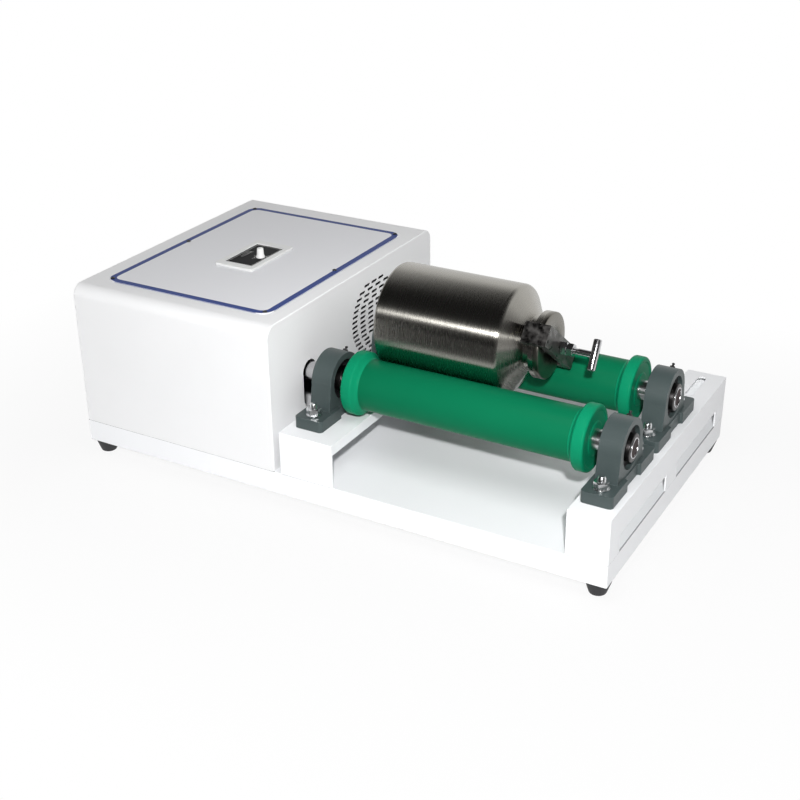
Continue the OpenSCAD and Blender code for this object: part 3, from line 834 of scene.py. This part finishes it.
def make_clamp_screw():
    """the fixed nut, the screw with its foot and its locked nut, and the T-handle"""
    point_up = Matrix.Rotation(pi / 6, 4, "X")
    low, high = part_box("clamp_fixed_nut")
    across, radius = (high.y - low.y) / MM, CLAMP_SCREW_RADIUS
    bm = bmesh.new()
    nut(bm, (low.x, jar_axis.y, jar_axis.z), across, (high.x - low.x) / MM, radius + 0.1, point_up, True)
    finished(bm, "clamp_bar_nut", "zinc_steel", ("clamp_fixed_nut",))
    screw_low, screw_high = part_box("clamp_screw")
    at, long = Vector((screw_low.x, jar_axis.y, jar_axis.z)), (screw_high.x - screw_low.x) / MM
    foot, foot_thick = 9, 2.7
    nut_at = (high.x - screw_low.x) / MM + 0.3
    bm = bmesh.new()
    turned(bm, [(0, 0), (0, foot, 0.6), (foot_thick, foot, 0.6), (foot_thick, radius - 0.6)]
           + thread(3.5, nut_at + 12, radius, 1.25)
           + [(nut_at + 14, radius, 0.3), (long, radius), (long, 0)], at, steps=32)
    nut(bm, at + Vector((nut_at * MM, 0, 0)), across, CLAMP_NUT_THICK, radius - 0.4, point_up, True)
    finished(bm, "clamp_screw_with_nut", "turned_steel", ("clamp_screw",))
    tee_low, tee_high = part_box("tee_handle")
    middle, thick = (tee_low + tee_high) / 2, (tee_high.x - tee_low.x) / 2 / MM
    bm = bmesh.new()
    turned(bm, [(-TEE_HALF, 0), (-TEE_HALF, thick, 1.6), (TEE_HALF, thick, 1.6), (TEE_HALF, 0)],
           (middle.x, jar_axis.y, jar_axis.z), Matrix.Rotation(-TEE_LEAN, 4, "X") @ UP, 48, 4)
    finished(bm, "tee_bar", "turned_steel", ("tee_handle",))


# ---- bearing blocks ----

def make_blocks():
    """the castings on the bars, with their bearings, bolts and nipples"""
    for side, row in BLOCKS:
        name = f"{side}_{row}"
        finished(eased(name + "_housing", 1.8, 3, 30), name + "_casting", "cast_paint",
                 (name + "_housing",), even=True)
        make_bearing(name, row)
    make_bolts()
    make_nipples()


def make_bearing(name, row):
    """a bearing's outer ring and its seals, which lie in a groove on both faces"""
    low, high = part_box(name + "_bearing")
    wide, outer, bore = (high.x - low.x) / MM, (high.z - low.z) / 2 / MM, INNER_RING_RADIUS + 0.05
    face = [(0.6, bore), (0.6, 19, 0.2), (1.8, 19.6, 0.3), (1.8, 22.4, 0.3), (0, 23.0, 0.2), (0, outer, 0.8)]
    bm = bmesh.new()
    turned(bm, face + [(wide - x, *rest) for x, *rest in reversed(face)],
           (low.x, AXLE[row].y, AXLE[row].z), steps=80)
    finished(bm, name + "_bearing_seal", "bearing_seal", (name + "_bearing",))


def make_bolts():
    """each bolt: a head under the bar, a washer and a nut on the flange, and the threaded end"""
    across, washer, washer_thick = 16.4, 10, 1.9
    bm = bmesh.new()
    for low, high, middle in loose_parts("block_bolts"):
        long = (high.z - low.z) / MM
        head = Vector((middle.x, middle.y, low.z))
        flange = Vector((middle.x, middle.y, high.z - BOLT_STANDS * MM))
        turned(bm, [(0, BOLT_RADIUS + 0.2), (0, washer, 0.35), (washer_thick, washer, 0.35),
                    (washer_thick, BOLT_RADIUS + 0.2)], flange, UP, 48)
        nut(bm, flange + Vector((0, 0, (washer_thick + 0.05) * MM)), across, 8, BOLT_RADIUS - 0.4)
        nut(bm, head, across, 6, 3)
        turned(bm, [(2, 0), (2, BOLT_RADIUS)] + thread(long - 18, long - 1.4, BOLT_RADIUS)
               + [(long, BOLT_RADIUS - 1.1, 0.3), (long, 0)], head, UP, 32)
    finished(bm, "block_bolts_and_nuts", "zinc_steel", ("block_bolts",))


def make_nipples():
    """a lubrication nipple on each housing: a hexagon, a waist and a rounded tip"""
    tip = Matrix.Rotation(-NIPPLE_LEAN, 4, "X")
    out = tip @ Vector((0, 0, (HOUSING_RADIUS + 0.05) * MM))
    bm = bmesh.new()
    for side, row in BLOCKS:
        low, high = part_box(f"{side}_{row}_housing")
        at = Vector(((low.x + high.x) / 2, AXLE[row].y, AXLE[row].z)) + out
        nut(bm, at, 5.8, 2.8, 0.8, tip @ UP)
        turned(bm, [(2.6, 0), (2.6, 2.1), (3.5, 1.3, 0.2), (4.6, 1.3, 0.2), (5.2, 1.95, 0.3),
                    (6.1, 1.95, 0.4), (6.9, 1.0, 0.2), (6.9, 0)], at, tip @ UP, 24)
    finished(bm, "lubrication_nipples", "zinc_steel", ("grease_nipples",), look="dull_zinc")


# ---- camera, lamps and floor ----

def aim(thing, at, to, roll=0.0):
    """stands a lamp or the camera at a point, looking to another"""
    ahead = (Vector(to) - Vector(at)).normalized()
    side = ahead.cross(Vector((0, 0, 1))).normalized()
    top = side.cross(ahead)
    side, top = cos(roll) * side + sin(roll) * top, cos(roll) * top - sin(roll) * side
    thing.matrix_world = Matrix.Translation(at) @ Matrix((side, top, -ahead)).transposed().to_4x4()
    scene.collection.objects.link(thing)


def make_camera():
    """a camera in front and to the right, looking down on the object"""
    turn, tilt, roll = radians(29.74), radians(26.44), radians(-0.62)
    at = Vector((0.7903, -1.3949, tray_high.z + 0.8243))
    ahead = Vector((-sin(turn) * cos(tilt), cos(turn) * cos(tilt), -sin(tilt)))
    data = bpy.data.cameras.new("camera")
    data.sensor_width, data.lens = 36.0, 60.27
    data.clip_start, data.clip_end = 0.05, 60.0
    camera = bpy.data.objects.new("camera", data)
    aim(camera, at, at + ahead, roll)
    scene.camera = camera


def lamp(name, at, to, size, power):
    """a white rectangular lamp"""
    data = bpy.data.lights.new(name, "AREA")
    data.shape, (data.size, data.size_y) = "RECTANGLE", size
    data.energy = power
    made = bpy.data.objects.new(name, data)
    aim(made, at, to)
    return made


def make_room():
    """a pale room, brighter behind and to the left; the camera sees white, and metal sees a white
    backdrop between a dark ceiling and a dark front"""
    world = bpy.data.worlds.new("studio")
    scene.world = world
    world.use_nodes = True
    tree = world.node_tree
    way = add(tree, "SeparateXYZ", {0: add(tree, "TexCoord").outputs["Generated"]}).outputs
    away = maths(tree, "MAXIMUM", way[1], maths(tree, "MULTIPLY", way[0], -1.0))
    walls = spread(tree, away, 0.1, 0.6, FRONT_LIGHT, BACK_LIGHT)
    light = blend_values(tree, spread(tree, way[2], 0.1, 0.75), walls, CEILING_LIGHT)
    low_down = spread(tree, way[2], 0.55, 0.86, 1.0, 0.0)
    backdrop = maths(tree, "MULTIPLY", spread(tree, way[1], 0.05, 0.40, 0.02, 1.0), low_down)
    right = maths(tree, "MULTIPLY", spread(tree, way[0], 0.30, 0.65, 0.0, 0.08), low_down)
    seen_in_metal = maths(tree, "MAXIMUM", maths(tree, "MAXIMUM", backdrop, right), 0.02)
    rays = add(tree, "LightPath").outputs
    seen_plainly = maths(tree, "MAXIMUM", rays["Is Camera Ray"], rays["Is Transmission Ray"])
    strength = blend_values(tree, rays["Is Glossy Ray"], light, seen_in_metal)
    strength = blend_values(tree, seen_plainly, strength, 1.0)
    tree.links.new(strength, tree.nodes["Background"].inputs["Strength"])
    tree.nodes["Background"].inputs["Color"].default_value = (1, 1, 1, 1)


def make_floor():
    """a white floor that keeps the object's shadow and runs into the white backdrop; metal sees its
    front part dark"""
    bm = bmesh.new()
    bmesh.ops.create_circle(bm, cap_ends=True, segments=64, radius=14)
    mesh = bpy.data.meshes.new("floor")
    bm.to_mesh(mesh)
    bm.free()
    floor = bpy.data.objects.new("floor", mesh)
    scene.collection.objects.link(floor)
    tree, shader = finish("floor", (0.72, 0.72, 0.72), Roughness=0.9)
    grain = use(tree, GRAIN, **{"Grain Size": 8.0, "Cloud Size": 900.0})
    wire(tree, shader, Base_Color=blend(tree, grain["Clouds"], (0.71, 0.71, 0.71, 1), (0.73, 0.73, 0.73, 1)))
    place = add(tree, "SeparateXYZ", {0: add(tree, "TexCoord").outputs["Object"]}).outputs
    past = [maths(tree, "SUBTRACT", maths(tree, "ABSOLUTE", place[k]), tray_high[k]) for k in (0, 1)]
    beyond = [maths(tree, "MAXIMUM", p, 0.0) for p in past]
    away = maths(tree, "SQRT", maths(tree, "ADD", *(maths(tree, "MULTIPLY", b, b) for b in beyond)))
    rays = add(tree, "LightPath").outputs
    seen = maths(tree, "MAXIMUM", maths(tree, "MAXIMUM", rays["Is Camera Ray"], rays["Is Glossy Ray"]),
                 rays["Is Transmission Ray"])
    front = spread(tree, place[1], -0.42, -0.30, 1.0, 0.0)
    in_front = maths(tree, "MULTIPLY", rays["Is Glossy Ray"], front)
    fade = spread(tree, away, 0.03, 0.45, 0.88, 1.0)
    mask = maths(tree, "MULTIPLY", seen, maths(tree, "MAXIMUM", fade, in_front))
    white = add(tree, "Emission", {0: (1, 1, 1, 1), 1: spread(tree, in_front, 0, 1, 1.0, 0.08)}).outputs[0]
    mixed = add(tree, "MixShader", {0: mask, 1: shader.outputs[0], 2: white}).outputs[0]
    tree.links.new(mixed, tree.nodes["Material Output"].inputs["Surface"])
    mesh.materials.append(FINISH["floor"])


def make_studio():
    """the room, a small key lamp, a strip that only metal reflects, a soft fill and the floor"""
    make_room()
    middle = (0, 0, 0.12)
    key = lamp("key", at=(1.26, -2.20, 1.70), to=middle, size=(0.10, 0.10), power=84)
    key.visible_glossy = False
    strip = lamp("strip seen in metal", at=(1.0, -2.3, 1.27), to=middle, size=(0.6, 0.14), power=52)
    strip.visible_diffuse = False
    fill = lamp("overhead fill", at=(0.30, -0.30, 0.62), to=(0.25, -0.08, 0), size=(0.36, 0.3), power=1.4)
    fill.visible_glossy = False
    make_floor()
    scene.view_settings.view_transform = "Standard"


make_camera()
make_studio()
make_sheet_metal()
make_cabinet()
make_seam_shadows()
make_feet()
make_panel_screws()
make_controller()
make_rollers()
make_jar()
make_blocks()

# every CAD node carries the finish of its slot too
for row in frame["record"]["subparts"]:
    data = CAD[row["node"]].data
    data.materials.clear()
    data.materials.append(FINISH[row["material_slot"]])
